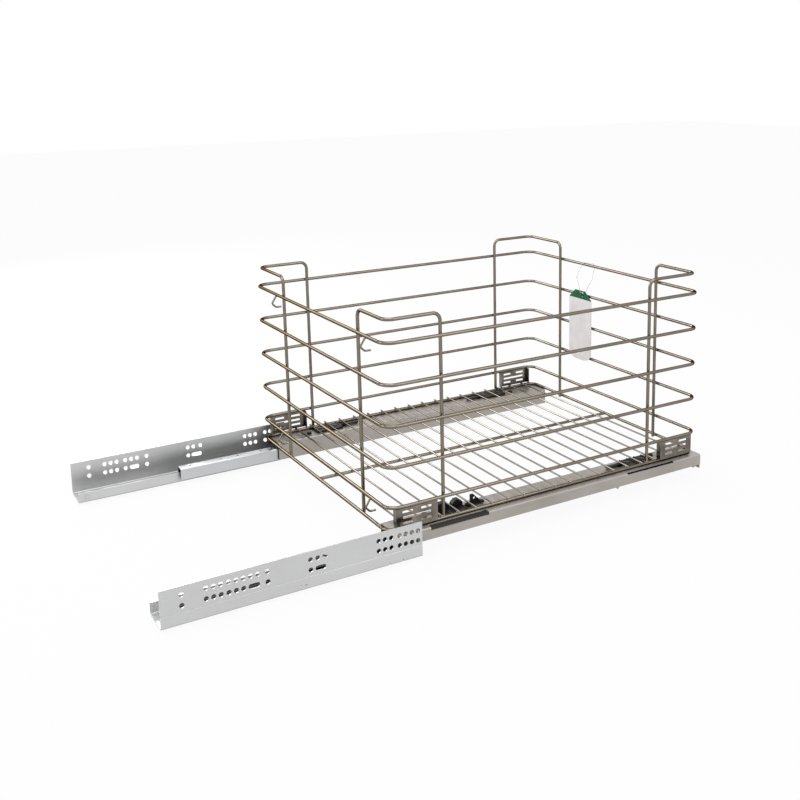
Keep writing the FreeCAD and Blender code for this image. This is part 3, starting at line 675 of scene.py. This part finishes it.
rod_z = FRAME_Z + WIRE / 2 + ROD / 2
first_rod = model_rod()
rods = []
beads = []
for i in range(ROD_COUNT):
    y = (i - ROD_COUNT // 2) * ROD_PITCH
    only(first_rod)
    bpy.ops.object.duplicate()
    rod = bpy.context.object
    rod.location = place(0, y, rod_z)
    bpy.ops.object.transform_apply(location=True, rotation=True, scale=True)
    rods.append(rod)
    for x in (-FLOOR_HALF_W, 0, FLOOR_HALF_W):
        beads.append(add_bead(place(x, y, FRAME_Z + WIRE / 2 - 0.1), FLOOR_BEAD))
bpy.data.objects.remove(first_rod)
rods = merge_pieces(rods)
settle(paint(rods, plated_rod_painted_highlight), "floor_rods")
floor_beads = paint(merge_pieces(beads), weld_metal)
floor_beads.name = "floor_welds"
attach(floor_beads, "basket")
bar_end = HALF_D - WIRE / 2
centre = bend_wire("centre", [place(0, -bar_end, FRAME_Z), place(0, bar_end, FRAME_Z)], WIRE, 0)
settle(paint(centre, plated_wire), "floor_centre_bar")
print("rods", ROD_COUNT, "with", len(beads), "beads, faces", len(rods.data.polygons))

# %% [markdown]
# Each corner has one long wire that rises from the slide, crosses the corner above the top ring
# and comes down on the other side. Both legs are welded to the inside of every ring.

# %% Corner posts
POST_REACH = {
    "rear_right": (96.0, 79.0),
    "rear_left": (78.0, 79.0),
    "front_right": (91.0, 79.0),
    "front_left": (87.0, 89.0),
}
POST_TOP = RINGS[-1] + 27.5
POST_BENDS = [0, 10.0, 11.5, 10.0, 0]
END_BEAD, SIDE_BEAD, FOOT_BEAD = (2.2, 0.7, 2.2), (0.7, 2.2, 2.2), (2.4, 3.0, 0.8)
ring_beads = []
for corner, (reach_x, reach_y) in POST_REACH.items():
    sx = 1 if "right" in corner else -1
    sy = -1 if "front" in corner else 1
    leg_x = sx * (HALF_W - reach_x)
    leg_y = sy * (HALF_D - reach_y)
    side_x = sx * (HALF_W - WIRE)
    end_y = sy * (HALF_D - WIRE)
    corners = [
        place(leg_x, end_y, DRAWER_TOP),
        place(leg_x, end_y, POST_TOP),
        place(side_x, end_y, POST_TOP),
        place(side_x, leg_y, POST_TOP),
        place(side_x, leg_y, FRAME_Z + WIRE / 2),
    ]
    post = bend_wire(corner, corners, WIRE, POST_BENDS)
    settle(paint(post, plated_wire), "post_" + corner)
    for z in RINGS + [FRAME_Z]:
        ring_beads.append(add_bead(place(leg_x, sy * (HALF_D - WIRE / 2), z), END_BEAD))
    for z in RINGS:
        ring_beads.append(add_bead(place(sx * (HALF_W - WIRE / 2), leg_y, z), SIDE_BEAD))
    ring_beads.append(add_bead(place(side_x, leg_y, FRAME_Z + WIRE / 2 + 0.2), FOOT_BEAD))
ring_beads = paint(merge_pieces(ring_beads), weld_metal)
ring_beads.name = "ring_welds"
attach(ring_beads, "basket")
print("posts", len(POST_REACH), "bead faces", len(ring_beads.data.polygons))

# %% [markdown]
# Four small hooks on the rear wall hold a bag. Each leaves the lower outside of a ring, slants
# down, and turns back under the ring. They are thinner wire, bent by the same function.

# %% Bag hooks
HOOK_WIRE, HOOK_XS, HOOK_BENDS = 2.6, (126.0, -160.0), [0, 2.0, 2.0, 0]
HOOK_TURNS = ((8.0, -12.0), (2.0, -18.0), (-6.0, -18.0))
HOOK_BEAD = (1.7, 1.7, 1.7)
for node, z in (("upper_hooks", RINGS[-1]), ("lower_hooks", RINGS[0])):
    hooks = []
    slope = Vector((0, *HOOK_TURNS[0])).normalized() * (WIRE / 2)
    for x in HOOK_XS:
        route = [place(x, HALF_D + slope.y, z + slope.z)]
        route += [place(x, HALF_D + out, z + down) for out, down in HOOK_TURNS]
        hooks.append(bend_wire("hook", route, HOOK_WIRE, HOOK_BENDS, around=4))
        hooks.append(add_bead(route[0], HOOK_BEAD))
    settle(paint(merge_pieces(hooks), plated_wire), node)
bpy.data.objects.remove(pattern_bead)
print("hooks", 2 * len(HOOK_XS))

# %% [markdown]
# ## Sheet parts
#
# Rails and brackets are folded sheet with many holes, and the clips are small mouldings. Cutting
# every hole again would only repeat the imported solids, which have the right shape. So each is
# copied, its loose triangles are merged, and its edges are rounded a little to catch the light.

# %% Softened copies of the sheet parts
SHARP_FROM = math.radians(35)


def soften(node, material, edge=0.25, segments=2):
    """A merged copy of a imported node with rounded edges, which stands for it."""
    only(nodes[node])
    bpy.ops.object.duplicate()
    copy = bpy.context.object
    copy.parent = None
    bpy.ops.object.mode_set(mode="EDIT")
    bpy.ops.mesh.select_all(action="SELECT")
    bpy.ops.mesh.remove_doubles(threshold=SAME_SPOT)
    bpy.ops.mesh.dissolve_limited(angle_limit=math.radians(1))
    bpy.ops.object.mode_set(mode="OBJECT")
    bpy.ops.object.modifier_add(type="BEVEL")
    bevel = copy.modifiers[-1]
    bevel.width = edge / 1000
    bevel.segments = segments
    bevel.limit_method = "ANGLE"
    bevel.angle_limit = SHARP_FROM
    bpy.ops.object.modifier_apply(modifier=bevel.name)
    bpy.ops.object.shade_smooth_by_angle(angle=math.radians(30))
    bpy.ops.object.modifier_add(type="WEIGHTED_NORMAL")
    copy.modifiers[-1].keep_sharp = True
    bpy.ops.object.modifier_apply(modifier=copy.modifiers[-1].name)
    settle(paint(copy, material), node)
    return copy


for side in ("left", "right"):
    soften("cabinet_rail_" + side, zinc)
    soften("middle_rail_" + side, bright_zinc)
    soften("drawer_rail_" + side, warm_grey, edge=0.4, segments=3)
    soften("closing_unit_" + side, black_plastic, edge=0.4)
    soften("striker_pin_" + side, zinc, edge=0.3)
    for end in ("front", "rear"):
        soften("bracket_%s_%s" % (end, side), bracket_plate, edge=0.2)
        soften("clip_%s_%s" % (end, side), black_plastic, edge=0.35)
        soften("clip_lever_%s_%s" % (end, side), black_plastic, edge=0.35)

# %% [markdown]
# The ticket is a flat card and its loop is a thin clear moulding. Both keep their outlines, so
# they need only the smallest rounding, much less than their thickness.

# %% Ticket and loop
for node, material, edge in (
    ("swing_ticket", ticket_card, 0.1),
    ("ticket_loop", clear_nylon, 0.05),
):
    print(node, "faces", len(soften(node, material, edge=edge).data.polygons))

# %% [markdown]
# Rivets, pins and screws are turned parts with a fine broken edge, so they are softened too. Balls,
# rollers, cages and glides have the right shape already and only take a finish.

# %% Small parts
for node, material in {
    "lip_rivets": zinc,
    "clip_rivets": dark_steel,
    "clip_pins": dark_steel,
    "adjusting_screws": black_plastic,
}.items():
    soften(node, material, edge=0.2)
for side in ("left", "right"):
    paint(nodes["lower_cage_" + side], cage_plastic)
    paint(nodes["upper_cage_" + side], cage_plastic)
    paint(nodes["lower_balls_" + side], bearing_steel)
    paint(nodes["lip_rollers_" + side], cage_plastic)
    paint(nodes["upper_rollers_" + side], cage_plastic)
    paint(nodes["guide_buttons_" + side], clear_nylon)

# %% [markdown]
# ## Studio
#
# The photograph is a cut-out on white, lit softly from above. The floor is plain and pale. Rays
# from the camera, and those that metal or clear plastic send on, see it nearly white with a trace
# of the shadow left. Diffuse light meets the real grey, so the floor doesn't flood the object.

# %% Floor
def seen_directly(tree, *kinds):
    """1 for rays of these kinds, and 0 for the rest."""
    path = tree.nodes.new("ShaderNodeLightPath")
    either = path.outputs["Is " + kinds[0] + " Ray"]
    for kind in kinds[1:]:
        either = math_node(tree, "MAXIMUM", either, path.outputs["Is " + kind + " Ray"])
    return either


def blend_shaders(tree, share, first, second):
    node = tree.nodes.new("ShaderNodeMixShader")
    for socket, value in zip(node.inputs, (share, first, second)):
        tree.links.new(value, socket)
    return node.outputs[0]


SEES_WHITE = ("Camera", "Glossy", "Transmission")
WHITE_SHARE = 0.94
FLOOR_SIZE, FLOOR_Z = 14, -0.004
deselect()
bpy.ops.mesh.primitive_plane_add(size=FLOOR_SIZE, location=(0, 0, FLOOR_Z))
floor = bpy.context.object
floor.name = "studio_floor"
bpy.ops.object.transform_apply(location=True)
pale = bpy.data.materials.new("pale_floor")
pale.use_nodes = True
tree = pale.node_tree
matt = tree.nodes["Principled BSDF"]
matt.inputs["Base Color"].default_value = (0.56, 0.56, 0.56, 1)
matt.inputs["Roughness"].default_value = 0.9
glow = tree.nodes.new("ShaderNodeEmission")
glow.inputs["Strength"].default_value = 1.0
share = math_node(tree, "MULTIPLY", seen_directly(tree, *SEES_WHITE), WHITE_SHARE)
dressed = blend_shaders(tree, share, matt.outputs[0], glow.outputs[0])
tree.links.new(dressed, tree.nodes["Material Output"].inputs["Surface"])
paint(floor, pale)
print("floor at z", FLOOR_Z)

# %% [markdown]
# The world is white for the same rays. For diffuse light it is a soft sky instead, dim near the
# ground and bright overhead, so that the undersides of the rails stay darker than their tops.

# %% World
LOW_SKY, HIGH_SKY = (-0.1, 0.26), (0.7, 0.95)
world = bpy.data.worlds.new("studio")
bpy.context.scene.world = world
world.use_nodes = True
tree = world.node_tree
sky = tree.nodes["Background"]
aim = tree.nodes.new("ShaderNodeTexCoord")
split = tree.nodes.new("ShaderNodeSeparateXYZ")
tree.links.new(aim.outputs["Generated"], split.inputs[0])
height, strength = zip(LOW_SKY, HIGH_SKY)
tree.links.new(spread_node(tree, split.outputs["Z"], *height, *strength), sky.inputs["Strength"])
sky.inputs["Color"].default_value = (0.97, 0.98, 1.0, 1)
white = tree.nodes.new("ShaderNodeBackground")
white.inputs["Color"].default_value = (1, 1, 1, 1)
white.inputs["Strength"].default_value = 1.0
dressed = blend_shaders(tree, seen_directly(tree, *SEES_WHITE), sky.outputs[0], white.outputs[0])
tree.links.new(dressed, tree.nodes["World Output"].inputs["Surface"])
print("sky strength from", LOW_SKY[1], "to", HIGH_SKY[1])

# %% [markdown]
# Four large soft lamps stand round the object. Plated wire shows little but reflections, so the
# lamps stand where the wires mirror them: one above, one behind, and one at each side.

# %% Lamps
def softbox(name, location, aim, size, power):
    deselect()
    bpy.ops.object.light_add(type="AREA", location=location)
    lamp = bpy.context.object
    lamp.name = name
    lamp.data.size = size
    lamp.data.energy = power
    lamp.rotation_mode = "QUATERNION"
    lamp.rotation_quaternion = (Vector(aim) - Vector(location)).to_track_quat("-Z", "Y")
    return lamp


softbox("top_box", location=(-0.3, 0.2, 2.2), aim=(0, -0.1, 0.1), size=1.7, power=24)
softbox("left_box", location=(-1.9, -0.9, 1.3), aim=(0, -0.1, 0.1), size=0.9, power=7)
softbox("rear_box", location=(0.4, 2.0, 1.2), aim=(0, 0, 0.1), size=1.0, power=9)
softbox("right_box", location=(1.9, 0.3, 0.9), aim=(0, 0, 0.1), size=1.3, power=26)

# %% [markdown]
# ## Camera
#
# The camera was worked out from the basket's own rings. Its small shift belongs to the
# photograph's crop.

# %% Camera
AZIMUTH, ELEVATION, ROLL = (math.radians(a) for a in (238.353, 10.983, 0.740))
CAMERA_PLACE = place(-1278.48, 790.72, 589.48)
PHOTO_PX, FOCAL_PX, CENTRE_PX = 800, 1058.43, (470.0, 270.0)
SENSOR = 36.0
deselect()
bpy.ops.object.camera_add(location=CAMERA_PLACE)
camera = bpy.context.object
back = Vector((
    math.sin(AZIMUTH) * math.cos(ELEVATION),
    -math.cos(AZIMUTH) * math.cos(ELEVATION),
    math.sin(ELEVATION),
))
right = (-back).cross(Vector((0, 0, 1))).normalized()
up = back.cross(right)
turned_right = right * math.cos(ROLL) - up * math.sin(ROLL)
turned_up = up * math.cos(ROLL) + right * math.sin(ROLL)
camera.rotation_mode = "QUATERNION"
camera.rotation_quaternion = Matrix((turned_right, turned_up, back)).transposed().to_quaternion()
camera.data.sensor_width = SENSOR
camera.data.lens = FOCAL_PX * SENSOR / PHOTO_PX
camera.data.shift_x = (PHOTO_PX / 2 - CENTRE_PX[0]) / PHOTO_PX
camera.data.shift_y = (CENTRE_PX[1] - PHOTO_PX / 2) / PHOTO_PX
bpy.context.scene.camera = camera
bpy.context.scene.view_settings.view_transform = "Standard"
print("camera", [round(value, 3) for value in camera.location], "lens", round(camera.data.lens, 2))
